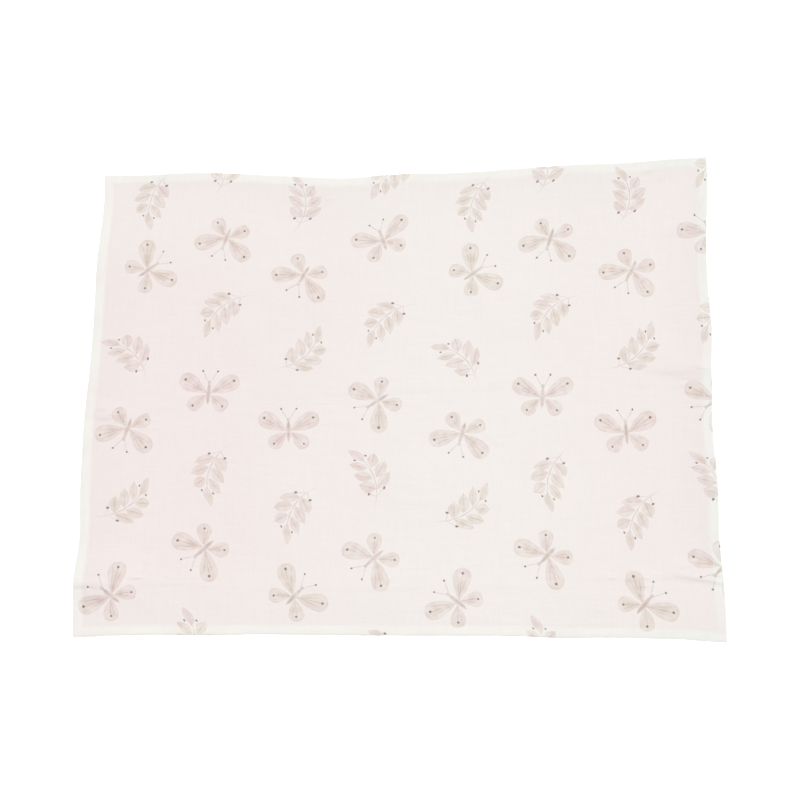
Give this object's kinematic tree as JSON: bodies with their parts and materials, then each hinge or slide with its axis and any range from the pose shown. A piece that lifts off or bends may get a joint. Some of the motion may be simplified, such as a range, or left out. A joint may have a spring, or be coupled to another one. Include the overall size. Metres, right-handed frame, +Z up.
{
  "type": "swaddle blanket",
  "caption": "Oblong sheet of thin cotton gauze with a turned and sewn hem on all sides, laid out flat, for wrapping or covering a baby.",
  "frame": {"origin": "under the middle of the cloth's box, on the surface that the cloth rests on", "axes": "+X along the long side, +Y along the short side, +Z up, out of the printed face"},
  "size_m": [1.0297, 0.793, 0.0069],
  "materials": {
    "cotton_gauze": "soft matt cotton gauze, very pale blush to ivory, with a pale beige and blush print"
  },
  "bodies": {
    "root": {"blanket": "cotton_gauze"}
  },
  "joints": []
}
